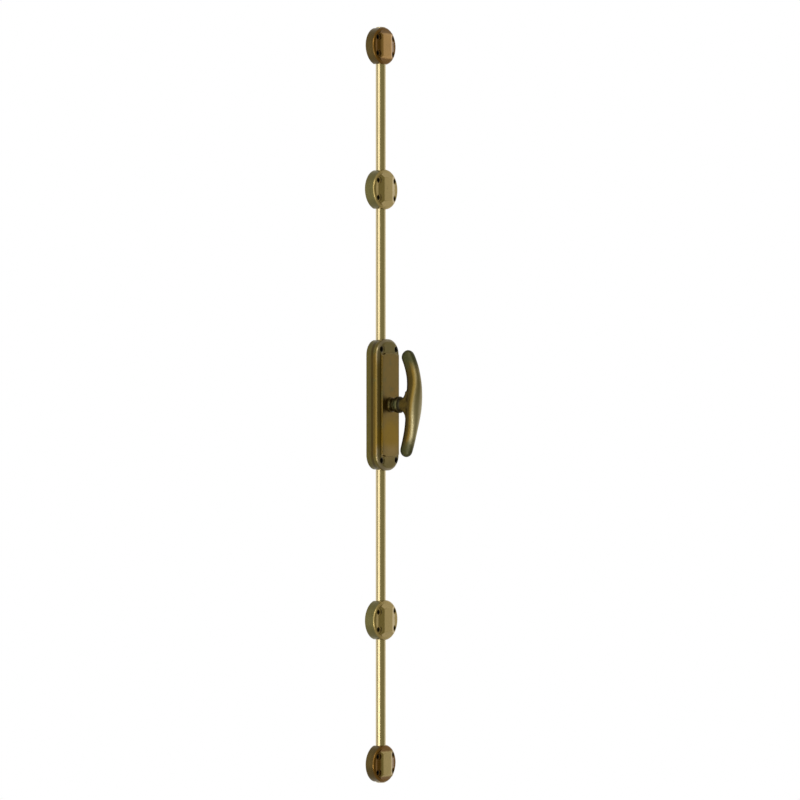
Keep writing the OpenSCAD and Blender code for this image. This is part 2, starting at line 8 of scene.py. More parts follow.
# %% Load the solid model
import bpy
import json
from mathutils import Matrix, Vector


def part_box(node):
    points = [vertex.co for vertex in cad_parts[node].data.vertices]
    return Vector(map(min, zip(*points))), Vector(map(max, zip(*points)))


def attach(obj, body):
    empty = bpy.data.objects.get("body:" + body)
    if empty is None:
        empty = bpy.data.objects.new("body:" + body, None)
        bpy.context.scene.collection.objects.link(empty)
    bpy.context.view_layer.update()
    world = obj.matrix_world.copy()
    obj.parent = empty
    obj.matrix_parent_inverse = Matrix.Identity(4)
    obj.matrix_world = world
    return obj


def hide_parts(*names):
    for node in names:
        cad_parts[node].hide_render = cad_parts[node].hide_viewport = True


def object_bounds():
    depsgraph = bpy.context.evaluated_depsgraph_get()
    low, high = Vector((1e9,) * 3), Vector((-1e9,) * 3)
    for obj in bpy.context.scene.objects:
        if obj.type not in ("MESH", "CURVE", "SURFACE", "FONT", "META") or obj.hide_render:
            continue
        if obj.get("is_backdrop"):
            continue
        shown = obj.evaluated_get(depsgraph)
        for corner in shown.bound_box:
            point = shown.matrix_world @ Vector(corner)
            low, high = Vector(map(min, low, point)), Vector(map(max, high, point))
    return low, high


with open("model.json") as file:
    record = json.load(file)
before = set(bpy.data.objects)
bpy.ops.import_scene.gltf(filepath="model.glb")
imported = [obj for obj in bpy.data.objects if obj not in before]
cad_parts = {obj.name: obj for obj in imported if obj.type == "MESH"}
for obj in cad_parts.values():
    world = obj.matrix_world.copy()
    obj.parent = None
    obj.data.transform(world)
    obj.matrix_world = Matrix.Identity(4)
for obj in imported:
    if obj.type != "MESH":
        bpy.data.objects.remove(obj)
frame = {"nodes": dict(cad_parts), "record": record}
solid_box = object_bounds()

# %% [markdown]
# The model is in metres, with +Z up and the front towards -Y. A bolt maker thinks in millimetres on the face
# of the door: so far across, so far up, and so far out from the door. One small function turns those three
# numbers into a point of the scene, and another reads a solid's box back in the same terms, so that sizes
# are taken from the solids wherever they can be.

# %% Millimetres on the door's face
import json
import math

import bmesh
import bpy
from mathutils import Vector

MM = 0.001


def on_door(across, up, out):
    return Vector((across, -out, up)) * MM


def extent(node):
    """Least and greatest (across, up, out) of a solid, in millimetres."""
    low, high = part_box(node)
    return (low.x / MM, low.z / MM, -high.y / MM), (high.x / MM, high.z / MM, -low.y / MM)


case_low, case_high = extent("case_shell")
print("case:", [round(high - low, 1) for low, high in zip(case_low, case_high)], "mm across, up and out")

# %% [markdown]
# The photograph looks at the bolt from its front left, level with the handle, through a long lens that keeps
# the rods parallel. A camera far away with a 150 mm lens does the same. It is placed by three facts: the
# turn round the bolt, the height of the picture at the rods, and where the spindle's axis meets the picture.

# %% Camera
VIEW_TURN = math.radians(54)
PICTURE_PX = 800
PICTURE_MM = 1005
SPINDLE_PX = (376.5, 404.8)
LENS_MM = 150
SENSOR_MM = 36

to_camera = Vector((-math.sin(VIEW_TURN), -math.cos(VIEW_TURN), 0))
to_right = Vector((math.cos(VIEW_TURN), -math.sin(VIEW_TURN), 0))
mm_per_px = PICTURE_MM / PICTURE_PX
aim_right = (PICTURE_PX / 2 - SPINDLE_PX[0]) * mm_per_px
aim_up = (SPINDLE_PX[1] - PICTURE_PX / 2) * mm_per_px
aim = (to_right * aim_right + Vector((0, 0, aim_up))) * MM
camera_distance = PICTURE_MM * MM * LENS_MM / SENSOR_MM

lens = bpy.data.cameras.new("camera")
lens.lens = LENS_MM
lens.sensor_width = SENSOR_MM
camera = bpy.data.objects.new("camera", lens)
camera.location = aim + to_camera * camera_distance
camera.rotation_euler = (-to_camera).to_track_quat("-Z", "Y").to_euler()
bpy.context.scene.collection.objects.link(camera)
bpy.context.scene.camera = camera
print(f"camera {camera_distance:.2f} m away, turned {math.degrees(VIEW_TURN):.0f} degrees to the left")

# %% [markdown]
# Metal shows what stands around it, so the studio is most of its look. The rods carry one bright stripe left
# of their middle and a dark one right of it, which tells where the light stood: a tall soft box to the left
# of the camera, a dark room on the right with one weak box far behind, and a white background that wraps
# round. Edges that look a little up or down are brighter still, so two small lamps stand above and below the
# tall box. The white is seen by the camera directly, and a softer gradient is what the metal reflects.

# %% Lights
# Name, degrees to the right of the camera and above it, metres away, width, height, watts and colour.
STUDIO = (
    ("key_box", -43, 0, 1.7, 1.2, 2.4, 18.5, (1.0, 0.985, 0.98)),
    ("right_box", 150, 0, 2.4, 1.6, 2.2, 4, (1.0, 0.97, 0.93)),
    ("upper_lamp", -36, 42, 1.75, 0.6, 0.5, 7, (1.0, 0.96, 0.88)),
    ("lower_lamp", -36, -31, 1.75, 0.6, 0.5, 7, (1.0, 0.96, 0.88)),
)


def soft_box(name, turn, lift, distance, width, height, watts, tone):
    """A soft box that faces the bolt."""
    turn, lift = math.radians(turn), math.radians(lift)
    level = to_camera * math.cos(turn) + to_right * math.sin(turn)
    direction = level * math.cos(lift) + Vector((0, 0, math.sin(lift)))
    data = bpy.data.lights.new(name, "AREA")
    data.shape = "RECTANGLE"
    data.size = width
    data.size_y = height
    data.energy = watts
    data.color = tone
    light = bpy.data.objects.new(name, data)
    light.location = direction * distance
    light.rotation_euler = (-light.location).to_track_quat("-Z", "Y").to_euler()
    bpy.context.scene.collection.objects.link(light)
    return light


lights = [soft_box(*settings) for settings in STUDIO]
print("lights:", [light.name for light in lights])

# %% [markdown]
# The world and the finishes are node trees, and writing them link by link is hard to read. This small class
# wraps one socket of a tree. Sums of sockets and numbers add Math nodes, so a mask can be written as
# 1 - dirt * 0.5. Every other node comes from one method, which takes the node's type, its settings and what
# goes on its sockets. Lengths are given in millimetres here too.

# %% Shader sums
class Strand:
    """One socket in a node tree, which can be written in sums as a number can."""

    def __init__(self, tree, socket=None):
        self.tree = tree
        self.socket = socket

    def node(self, kind, settings=None, sockets=None, out=0):
        made = self.tree.nodes.new(kind)
        for name, value in (settings or {}).items():
            setattr(made, name, value)
        for name, value in (sockets or {}).items():
            if isinstance(value, Strand):
                self.tree.links.new(value.socket, made.inputs[name])
            else:
                made.inputs[name].default_value = value
        return Strand(self.tree, made.outputs[out])

    def math(self, operation, first, second=0):
        return self.node("ShaderNodeMath", {"operation": operation}, {0: first, 1: second})

    def vector(self, operation, first, second, out=0):
        return self.node("ShaderNodeVectorMath", {"operation": operation}, {0: first, 1: second}, out)

    def __add__(self, other):
        return self.math("ADD", self, other)

    def __radd__(self, other):
        return self.math("ADD", other, self)

    def __sub__(self, other):
        return self.math("SUBTRACT", self, other)

    def __rsub__(self, other):
        return self.math("SUBTRACT", other, self)

    def __mul__(self, other):
        return self.math("MULTIPLY", self, other)

    def __rmul__(self, other):
        return self.math("MULTIPLY", other, self)

    def noise(self, lump_mm, detail=3, roughness=0.55, stretch=(1, 1, 1)):
        """Noise over this vector, with lumps of about that size, longer where stretch is small."""
        spread = self.vector("MULTIPLY", self, stretch)
        return self.node("ShaderNodeTexNoise", {}, {"Vector": spread, "Scale": 1 / (lump_mm * MM),
                                                    "Detail": detail, "Roughness": roughness})

    def size(self):
        return self.math("ABSOLUTE", self)

    def axis(self, letter):
        return self.node("ShaderNodeSeparateXYZ", {}, {"Vector": self}, letter)

    def reach(self, middle, size):
        """Distance from a point, counted in sizes, so that it is 1 on an ellipsoid round that point."""
        scaled = self.vector("DIVIDE", self.vector("SUBTRACT", self, middle), size)
        return scaled.node("ShaderNodeVectorMath", {"operation": "LENGTH"}, {0: scaled}, "Value")

    def ramp(self, start, end):
        """A soft step from 0 at start to 1 at end."""
        return self.node("ShaderNodeMapRange", {"interpolation_type": "SMOOTHSTEP"},
                         {"Value": self, "From Min": start, "From Max": end}, "Result")

    def step(self, start_mm, end_mm):
        """The same over a length."""
        return self.ramp(start_mm * MM, end_mm * MM)

    def between(self, rise, fall):
        """1 between a step up and a step down, each from one length to another."""
        return self.step(*rise) * self.step(*fall)

    def mix(self, first, second):
        """A colour that goes from first to second as this mask goes from 0 to 1."""
        return self.node("ShaderNodeMix", {"data_type": "RGBA"}, {0: self, 6: first, 7: second}, 2)


print("shader sums ready")

# %% [markdown]
# The world round the bolt is a gradient: light behind it and a little to the left, where the white
# background stands, darker on the camera's side, and of a middling grey straight above and below. The camera
# itself sees plain white. A Light Path node tells the two kinds of ray apart.

# %% World
BACK_LIGHT = (1.0, 0.975, 0.92, 1)
ROOM_DARK = (0.32, 0.31, 0.185, 1)
CEILING = (0.65, 0.62, 0.51, 1)
PAPER_WHITE = (1, 1, 1, 1)
BACK_TURN = math.radians(6)
BACK_FADE = (-0.2, 0.15)
CEILING_FADE = (0.35, 0.85)

world = bpy.data.worlds.new("studio")
bpy.context.scene.world = world
world.use_nodes = True
web = world.node_tree
web.nodes.clear()
ray = Strand(web).node("ShaderNodeTexCoord", out="Generated")
to_back = -to_camera * math.cos(BACK_TURN) - to_right * math.sin(BACK_TURN)
behind = ray.vector("DOT_PRODUCT", ray, to_back, "Value")
room = behind.ramp(*BACK_FADE).mix(ROOM_DARK, BACK_LIGHT)
room = ray.axis("Z").size().ramp(*CEILING_FADE).mix(room, CEILING)
seen = ray.node("ShaderNodeLightPath", out="Is Camera Ray").mix(room, PAPER_WHITE)
sky = ray.node("ShaderNodeBackground", {}, {"Color": seen})
web.links.new(sky.socket, web.nodes.new("ShaderNodeOutputWorld").inputs["Surface"])
bpy.context.scene.view_settings.view_transform = "Standard"
print("world:", world.name)

# %% [markdown]
# Castings are built from outlines. An outline is a loop of points, and a casting's skin is a stack of copies
# of it, each set in by some distance at some height: a wall, then a rounded edge, then a flat front. Setting
# a loop in moves each point along the bisector of its two edges. A turned piece is the same with a circle. A
# Bevel modifier could round the edges too, but a profile gives each edge the radius that the real one has.

# %% Outlines
def circle(radius, sides=64, centre=(0, 0)):
    turns = [2 * math.pi * i / sides for i in range(sides)]
    return [(centre[0] + radius * math.cos(t), centre[1] + radius * math.sin(t)) for t in turns]


def arc(centre, radius, start, end, steps):
    """Points on an arc between two angles in degrees, both ends included."""
    turns = [math.radians(start + (end - start) * i / steps) for i in range(steps + 1)]
    return [(centre[0] + radius * math.cos(t), centre[1] + radius * math.sin(t)) for t in turns]


def rounded_box(half_w, half_h, corner, steps=14):
    x = half_w - corner
    y = half_h - corner
    return (arc((x, y), corner, 0, 90, steps) + arc((-x, y), corner, 90, 180, steps)
            + arc((-x, -y), corner, 180, 270, steps) + arc((x, -y), corner, 270, 360, steps))


def plain_box(half_w, half_h):
    return [(half_w, -half_h), (half_w, half_h), (-half_w, half_h), (-half_w, -half_h)]


def set_in(outline, distance):
    """The outline moved inward, each point along the bisector of its two edges."""
    moved = []
    for before, here, after in zip(outline[-1:] + outline[:-1], outline, outline[1:] + outline[:1]):
        normals = []
        for start, end in ((before, here), (here, after)):
            dx, dy = end[0] - start[0], end[1] - start[1]
            length = math.hypot(dx, dy)
            normals.append((-dy / length, dx / length))
        (ax, ay), (bx, by) = normals
        share = distance / (1 + ax * bx + ay * by)
        moved.append((here[0] + (ax + bx) * share, here[1] + (ay + by) * share))
    return moved


print("rounded box:", len(rounded_box(2, 3, 1)), "points")

# %% [markdown]
# A profile is a list of steps, each with a distance inward and a height. A quarter round runs first along
# the wall and then onto the front. The rings that follow from a profile are joined with four-sided faces.

# %% Stacks and turned pieces
def quarter(steps):
    """Angles from 0 to 90 degrees, in radians."""
    return [math.pi / 2 * i / steps for i in range(steps + 1)]


def round_over(start, end, steps=6):
    """A quarter round in a profile, first along the wall and then onto the front."""
    return [(start[0] + (end[0] - start[0]) * (1 - math.cos(t)),
             start[1] + (end[1] - start[1]) * math.sin(t)) for t in quarter(steps)]


def skin(name, rings):
    """A closed mesh over rings with as many points each."""
    shape = bmesh.new()
    loops = [[shape.verts.new(point) for point in ring] for ring in rings]
    for low, high in zip(loops, loops[1:]):
        for i in range(len(low)):
            j = (i + 1) % len(low)
            shape.faces.new((low[i], low[j], high[j], high[i]))
    shape.faces.new(loops[0][::-1])
    shape.faces.new(loops[-1])
    bmesh.ops.recalc_face_normals(shape, faces=shape.faces)
    mesh = bpy.data.meshes.new(name)
    shape.to_mesh(mesh)
    shape.free()
    piece = bpy.data.objects.new(name, mesh)
    bpy.context.scene.collection.objects.link(piece)
    return piece


def stack(name, outline, profile, place=on_door):
    """Copies of an outline, each set in and raised as the profile says."""
    return skin(name, [[place(x, y, height) for x, y in set_in(outline, inward)]
                       for inward, height in profile])


def turned(name, profile, place=on_door, sides=64):
    """A piece from the lathe: the profile gives a radius at each height."""
    widest = max(radius for radius, height in profile)
    steps = [(widest - radius, height) for radius, height in profile]
    return stack(name, circle(widest, sides), steps, place)


print("helpers: stack, turned")

# %% [markdown]
# Holes, slots and raised panels are joined or cut with Boolean modifiers. The manifold solver makes closed
# solids out of closed solids, and because the rounding is already in each part, nothing has to be bevelled
# afterwards. The result is kept as the piece's own mesh. Where a cut runs along an edge it can leave
# slivers, so points that all but touch are welded.

# %% Joining and cutting
WELD = 0.001


def settle(piece):
    """Keeps what the modifiers make as the piece's own mesh."""
    graph = bpy.context.evaluated_depsgraph_get()
    mesh = bpy.data.meshes.new_from_object(piece.evaluated_get(graph))
    piece.modifiers.clear()
    piece.data = mesh
    mesh.name = piece.name


def combine(piece, tools, operation):
    """Joins or cuts with all the tools at once, and clears them away."""
    rack = bpy.data.collections.new("tools")
    for tool in tools:
        rack.objects.link(tool)
    change = piece.modifiers.new("tools", "BOOLEAN")
    change.operation = operation
    change.solver = "MANIFOLD"
    change.operand_type = "COLLECTION"
    change.collection = rack
    settle(piece)
    for tool in tools:
        bpy.data.objects.remove(tool)
    bpy.data.collections.remove(rack)
    return piece


def heal(piece):
    """Welds points that lie closer than the weld and clears away the slivers that cutting leaves."""
    shape = bmesh.new()
    shape.from_mesh(piece.data)
    bmesh.ops.remove_doubles(shape, verts=shape.verts, dist=WELD * MM)
    bmesh.ops.dissolve_degenerate(shape, edges=shape.edges, dist=WELD * MM)
    shape.to_mesh(piece.data)
    shape.free()
    return piece


print("weld:", WELD, "mm")

# %% [markdown]
# A finished mesh is shaded smooth, apart from its sharp edges. Weighted normals keep a broad face flat next
# to a round edge. Then the piece takes the place of its solid and rides on the body that carries it.

# %% Putting a piece in place
pieces = {}


def smooth(piece, sharp):
    """Smooth shading, but with edges of more than so many degrees kept, and flat faces kept flat."""
    piece.data.shade_smooth()
    piece.data.set_sharp_from_angle(angle=math.radians(sharp))
    weight = piece.modifiers.new("flat_faces", "WEIGHTED_NORMAL")
    weight.keep_sharp = True
    return piece


def stand_for(piece, node, body, sharp=32):
    """Puts a finished piece in the place of a solid, on the body that carries it."""
    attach(smooth(piece, sharp), body)
    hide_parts(node)
    pieces[node] = piece
    print(f"{piece.name}: {len(piece.data.polygons)} faces in place of {node}")


# %% [markdown]
# Two kinds of cut come back on several pieces. A countersunk hole is a turned cutter with a cone for the
# screw's head and a small rounded lip. The rods run in channels that are open towards the door, so their
# cutter is a U-shaped outline pushed along the rod. Hole sizes and places are read from the model's mounts.

# %% Cutters
SPARE = 1
LIP = 0.35
HOLE_SIDES = 40
SLOT_FIT = 0.05
SLOT_STEPS = 24

mounts = {mount["name"]: mount for mount in frame["record"]["mounts"]}
rod_low, rod_high = extent("upper_rod")
rod_radius = (rod_high[0] - rod_low[0]) / 2
rod_axis = (rod_high[2] + rod_low[2]) / 2


def hole_places(mount):
    """Holes of a mount's pattern, as (across, up) from its middle, and their radius."""
    sizes = mounts[mount]["dims"]
    x = sizes["spacing_x_mm"] / 2
    y = sizes["spacing_y_mm"] / 2
    return [(x, y), (-x, y), (-x, -y), (x, -y)], sizes["hole_r_mm"]


def countersink(name, centre, radius, head_radius, front, clear, place=on_door):
    """A hole with a cone for the head, a rounded lip, and a round clearance in front of it."""
    cone = head_radius - radius
    wide = head_radius + LIP
    profile = [(radius, -SPARE), (radius, front - cone), (head_radius - LIP, front - LIP),
               (head_radius, front - LIP / 3), (wide, front), (wide, front + clear)]
    return turned(name, profile, lambda x, y, out: place(x + centre[0], y + centre[1], out), HOLE_SIDES)


def rod_channel(name, low, high):
    width = rod_radius + SLOT_FIT
    outline = [(width, -SPARE)] + arc((0, rod_axis), width, 0, 180, SLOT_STEPS) + [(-width, -SPARE)]
    return stack(name, outline, [(0, low), (0, high)], lambda x, out, up: on_door(x, up, out))


print("mounts with holes:", [name for name in mounts if "hole_r_mm" in mounts[name]["dims"]])

# %% [markdown]
# The case is one casting: a long box with round ends, a softly rounded front edge and a raised panel. The
# panel's corners are scooped out round the four screws. On the real one the walls swell a little between the
# door and the front edge, which is what draws the dark line beside the bright edge, so the profile swells
# too, and a band of painted shade in the finish deepens that line. The scoops have few points, because each
# point of an outline has to stay clear of its neighbours when the panel's edge is set in.

# %% Case
CASE_CORNER = 20
CASE_EDGE = 5.5
CASE_LEDGE = 20.5
LEDGE_LAP = 1.5
WALL_SWELL = 1.0
SWELL_STEPS = 8
SWELL_BIAS = 1.4
BACK_EDGE = 0.5
SCOOP_STEPS = 6


def scooped_panel(half_w, half_h, hole, radius):
    """A box whose corners are hollow round the screws."""
    x, y = hole
    side_drop = math.sqrt(radius ** 2 - (half_w - x) ** 2)
    end_drop = math.sqrt(radius ** 2 - (y - half_h) ** 2)
    start = math.degrees(math.atan2(-side_drop, half_w - x))
    end = math.degrees(math.atan2(half_h - y, -end_drop))
    corner = arc((x, y), radius, start, end, SCOOP_STEPS)
    top = corner + [(-px, py) for px, py in reversed(corner)]
    return top + [(-px, -py) for px, py in top]


case_half = (case_high[0], case_high[1])
panel_front = case_high[2]
wall_top = CASE_LEDGE - CASE_EDGE
case_profile = [(WALL_SWELL + BACK_EDGE, 0)]
for i in range(SWELL_STEPS):
    wave = math.cos(math.pi * (i / SWELL_STEPS) ** SWELL_BIAS)
    case_profile.append((WALL_SWELL * (1 + wave) / 2, BACK_EDGE + (wall_top - BACK_EDGE) * i / SWELL_STEPS))
case_profile += round_over((0, wall_top), (CASE_EDGE, CASE_LEDGE), 10)
case_profile.append((CASE_EDGE + LEDGE_LAP, CASE_LEDGE))
print("case profile:", len(case_profile), "steps from the door to the ledge")

# %% [markdown]
# On the real case the panel is cast in one with the block and stands a little proud of it. An inset and an
# extrusion of the front face could raise it, but the scooped corners are easier to draw as an outline of
# their own. So block and panel are two stacks, and a union makes them one casting.

# %% Case and panel
PANEL_HALF = (17.7, 64.8)
PANEL_EDGE = 0.8
PANEL_LAP = 0.2
SCOOP = 7

case_holes, case_hole_r = hole_places("case_screws")
case = stack("case", rounded_box(*case_half, CASE_CORNER), case_profile)
panel_profile = ([(0, CASE_LEDGE - LEDGE_LAP)]
                 + round_over((0, panel_front - PANEL_EDGE), (PANEL_EDGE, panel_front), 5)
                 + [(PANEL_EDGE + PANEL_LAP, panel_front)])
panel = stack("panel", scooped_panel(*PANEL_HALF, case_holes[0], SCOOP), panel_profile)
combine(case, [panel], "UNION")
print("panel:", PANEL_HALF[0] * 2, "x", PANEL_HALF[1] * 2, "mm")

# %% [markdown]
# The back of the real casting is cored out for the works. Each hollow could be modelled face by face, but
# cutting it with a closed tool keeps the casting closed and takes every size from the piece that goes in.
# The cutters are the four screw holes, the seat of the back plate, the room for the racks and the spindle's
# pieces, the bore for the front bush, and the rods' channels at both ends.

# %% Cut the case
CASE_HEAD = 4.8
SEAT_FIT = 0.02
SLIDE_GAP = 0.4
PLATE_LAP = 1.5
POST = 6.5
BUSH_SPIGOT = 7

plate_high = extent("back_plate")[1]
rack_low, rack_high = extent("upper_rack")
bush_low, bush_high = extent("front_bush")
rack_room = -rack_low[0] + SLIDE_GAP
core_room = extent("thrust_washer")[1][0] + 2 * SLIDE_GAP
room_half = plate_high[1] - PLATE_LAP
bush_bore = BUSH_SPIGOT + SEAT_FIT
cutters = [countersink(f"hole_{i}", centre, case_hole_r, CASE_HEAD, CASE_LEDGE - SEAT_FIT, SPARE)
           for i, centre in enumerate(case_holes)]
cutters += [
    stack("plate_seat", plain_box(plate_high[0] + SEAT_FIT, plate_high[1] + SEAT_FIT),
          [(0, -SPARE), (0, plate_high[2])]),
    stack("rack_room", plain_box(rack_room, room_half - POST),
          [(0, -SPARE), (0, rack_high[2] + SLIDE_GAP)]),
    stack("core_room", plain_box(core_room, room_half), [(0, -SPARE), (0, bush_low[2])]),
    turned("bush_bore", [(bush_bore, bush_low[2] - SPARE), (bush_bore, panel_front + SPARE)]),
    rod_channel("upper_channel", room_half - SPARE, case_half[1] + SPARE),
    rod_channel("lower_channel", -case_half[1] - SPARE, SPARE - room_half),
]
combine(case, cutters, "DIFFERENCE")
stand_for(case, "case_shell", "mounting")

# %% [markdown]
# The front bush is turned brass: a collar on the panel, a slim waist and a rim under the handle. It is bored
# for the spindle and has a spigot that is pressed into the case. Its steps are small, so they are listed as
# the turner would note them: how far in from the full radius, and how high above the panel or below the top.

# %% Front bush
COLLAR_STEPS = ((0.3, 0), (0, 0.4), (0, 1.4), (0.35, 1.8), (1.0, 2.1), (1.35, 3.0))
RIM_STEPS = ((1.35, 3.2), (1.0, 2.2), (0.4, 1.7), (0.2, 1.2), (0.25, 0.4), (0.7, 0))
SPIGOT_EDGE = 0.4
RUN_FIT = 0.05
BORE_LAP = 1

bush_radius = bush_high[0]
spindle_high = extent("spindle")[1]
spindle_radius = spindle_high[0]
bush = turned("bush", [(BUSH_SPIGOT - SPIGOT_EDGE, bush_low[2]), (BUSH_SPIGOT, bush_low[2] + SPIGOT_EDGE),
                       (BUSH_SPIGOT, panel_front)]
              + [(bush_radius - inward, panel_front + rise) for inward, rise in COLLAR_STEPS]
              + [(bush_radius - inward, bush_high[2] - drop) for inward, drop in RIM_STEPS]
              + [(spindle_radius + BORE_LAP, bush_high[2])])
bore_r = spindle_radius + RUN_FIT
combine(bush, [turned("bore", [(bore_r, 0), (bore_r, bush_high[2] + SPARE)])], "DIFFERENCE")
stand_for(bush, "front_bush", "mounting")

# %% [markdown]
# The four guides keep the rods straight. Each is a cast disc with a rounded edge and a raised field that
# slopes to its sides and is scooped out round four screws. The rod runs through underneath. All four come
# from one function, which reads its guide's size, height and holes from the solids. The field's profile
# gives the share of its slope and the share of its height, with the upper edge slightly rounded.

# %% Guides
GUIDE_EDGE = 3
GUIDE_STEP = 3
GUIDE_LAP = 1
GUIDE_SIDES = 96
GUIDE_SHARP = 14
FIELD_TOP_HALF = 8
FIELD_TOP_END = 10.5
SIDE_FLANK = 9.5
END_FLANK = 6.5
GUIDE_HEAD = 3.8
FIELD_PROFILE = ((1, -SPARE), (1, 0), (0.1, 0.9), (0.04, 0.955), (-0.03, 0.985), (-0.12, 1))


def make_guide(node):
    low, high = extent(node)
    radius = min(high[0], -low[0])
    middle = (high[1] + low[1]) / 2
    top = high[2]
    ledge = top - GUIDE_STEP
    holes, hole_r = hole_places(node + "_screws")

    def place(x, y, out):
        return on_door(x, y + middle, out)

    rim = round_over((0, ledge - GUIDE_EDGE), (GUIDE_EDGE, ledge), 8)
    disc = turned(node + "_casting", [(radius - BACK_EDGE, 0), (radius, BACK_EDGE)]
                  + [(radius - inward, height) for inward, height in rim]
                  + [(radius - GUIDE_EDGE - GUIDE_LAP, ledge)], place, GUIDE_SIDES)
    field = skin("field", [[place(x, y, ledge + GUIDE_STEP * rise)
                            for x, y in plain_box(FIELD_TOP_HALF + SIDE_FLANK * share,
                                                  radius - FIELD_TOP_END + END_FLANK * share)]
                           for share, rise in FIELD_PROFILE])
    trim_r = radius - GUIDE_EDGE - SEAT_FIT
    trim = turned("trim", [(trim_r, ledge - 2 * SPARE), (trim_r, top + SPARE)], place, GUIDE_SIDES)
    combine(field, [trim], "INTERSECT")
    combine(disc, [field], "UNION")
    cuts = [rod_channel("channel", middle - 2 * radius, middle + 2 * radius)]
    cuts += [countersink(f"hole_{i}", centre, hole_r, GUIDE_HEAD, ledge - SEAT_FIT,
                         GUIDE_STEP + SPARE, place) for i, centre in enumerate(holes)]
    return heal(combine(disc, cuts, "DIFFERENCE"))


for node in ("upper_end_guide", "upper_guide", "lower_guide", "lower_end_guide"):
    stand_for(make_guide(node), node, "mounting", GUIDE_SHARP)

# %% [markdown]
# The rods are drawn bars. A plain cylinder would have sharp ends and no bore, so a rod is a turned piece
# that stands upright: a blind bore for the stud that joins it to its rack, a long shaft, and a rounded tip.
# The lower rod is the upper one turned over.

# %% Rods
STUD_BORE = 2.55
BORE_DEPTH = 14.3
ROD_FOOT = 0.5
ROD_RINGS = 12
ROD_TIP = 1.2


def make_rod(node, way):
    low, high = extent(node)
    foot, tip = (low[1], high[1]) if way > 0 else (-high[1], -low[1])
    shaft = foot + ROD_FOOT
    shaft_length = tip - ROD_TIP - foot - ROD_FOOT
    end = round_over((0, tip - ROD_TIP), (ROD_TIP, tip), 5)
    profile = ([(STUD_BORE, foot + BORE_DEPTH), (STUD_BORE, foot), (rod_radius - ROD_FOOT, foot),
                (rod_radius, shaft)]
               + [(rod_radius, shaft + shaft_length * i / ROD_RINGS) for i in range(1, ROD_RINGS)]
               + [(rod_radius - inward, height) for inward, height in end])
    return turned(node + "_bar", profile, lambda x, out, up: on_door(x, way * up, rod_axis + out))


stand_for(make_rod("upper_rod", 1), "upper_rod", "upper_bolt")
stand_for(make_rod("lower_rod", -1), "lower_rod", "lower_bolt")

# %% [markdown]
# The crescent handle is the piece that a hand knows best. Its middle line bends back towards the door,
# tightly above and gently below. Its section is a deep oval that swells where the neck joins it and gets
# squarer along the upper arm. A bevelled curve would keep one section all the way, so the oval is swept ring
# by ring.

# %% Middle line of the grip
GRIP_PEAK = 20
GRIP_UPPER_R = 86
GRIP_LOWER_R = 245
GRIP_UPPER_END = 59.5
GRIP_LOWER_END = 56.5
GRIP_HALF_T = 10.1
GRIP_TIP_HALF_T = 8.6
GRIP_HALF_W = 9.3
GRIP_ARM_HALF_W = 5
GRIP_SWELL = 40
GRIP_SIDES = 40
LOWER_SQUARENESS = 2.4
UPPER_SQUARENESS = 3.6

handle_low, handle_high = extent("handle")
peak_out = handle_high[2] - GRIP_HALF_T
upper_bend = math.asin((GRIP_UPPER_END - GRIP_PEAK) / GRIP_UPPER_R)
lower_bend = -math.asin((GRIP_LOWER_END + GRIP_PEAK) / GRIP_LOWER_R)


def grip_ring(bend, slip=0.0, shrink=1.0):
    """One ring of the grip at a bend from its furthest point, slipped past the line's end for a tip."""
    bow = GRIP_UPPER_R if bend > 0 else GRIP_LOWER_R
    share = bend / (upper_bend if bend > 0 else lower_bend)
    out = peak_out - bow * (1 - math.cos(bend)) - slip * math.sin(bend)
    up = GRIP_PEAK + bow * math.sin(bend)
    swell = (1 + math.cos(math.pi * min(1, abs(up) / GRIP_SWELL))) / 2
    half_w = shrink * (GRIP_ARM_HALF_W + (GRIP_HALF_W - GRIP_ARM_HALF_W) * swell)
    half_t = shrink * (GRIP_HALF_T + (GRIP_TIP_HALF_T - GRIP_HALF_T) * share)
    up += slip * math.cos(bend)
    arm = max(0, math.sin(2 * bend))
    power = 2 / (LOWER_SQUARENESS + (UPPER_SQUARENESS - LOWER_SQUARENESS) * arm)
    ring = []
    for i in range(GRIP_SIDES):
        turn = 2 * math.pi * i / GRIP_SIDES
        across = half_w * math.copysign(abs(math.cos(turn)) ** power, math.cos(turn))
        depth = half_t * math.copysign(abs(math.sin(turn)) ** power, math.sin(turn))
        ring.append(on_door(across, up + depth * math.sin(bend), out + depth * math.cos(bend)))
    return ring


print(f"grip bends {math.degrees(upper_bend):.0f} degrees above and {-math.degrees(lower_bend):.0f} below")

# %% [markdown]
# The ends of the real grip are smooth domes. The rings run from the lower tip to the upper one, and at a tip
# they shrink like the circles of a dome, so that no cap has to be joined on.

# %% Rings of the grip
GRIP_TIP = 9
TIP_LEAN = 86
TIP_RINGS = 8
LOWER_RINGS = 30
UPPER_RINGS = 20

leans = [math.radians(TIP_LEAN * i / TIP_RINGS) for i in range(1, TIP_RINGS + 1)]
grip_rings = [grip_ring(lower_bend, -GRIP_TIP * math.sin(lean), math.cos(lean)) for lean in reversed(leans)]
grip_rings += [grip_ring(lower_bend * (1 - i / LOWER_RINGS)) for i in range(LOWER_RINGS)]
grip_rings += [grip_ring(upper_bend * i / UPPER_RINGS) for i in range(UPPER_RINGS + 1)]
grip_rings += [grip_ring(upper_bend, GRIP_TIP * math.sin(lean), math.cos(lean)) for lean in leans]
print("grip rings:", len(grip_rings))

# %% [markdown]
# The neck is round and spreads up and down into the grip in a hollow curve. That flare is a turned piece,
# trimmed to a slab so that it spreads along the handle only. A fine voxel remesh with some smoothing melts
# grip, neck and flare into one casting, as fettling a real casting does.

# %% Grip and neck
NECK_R = 8.8
NECK_LAP = 2
NECK_SINK = 0.25
FLARE_R = 9
FLARE_SINK = 0.45
SLAB_SHARE = 0.75
BEAD_LEN = 7
VOXEL = 0.6
FETTLING = 22

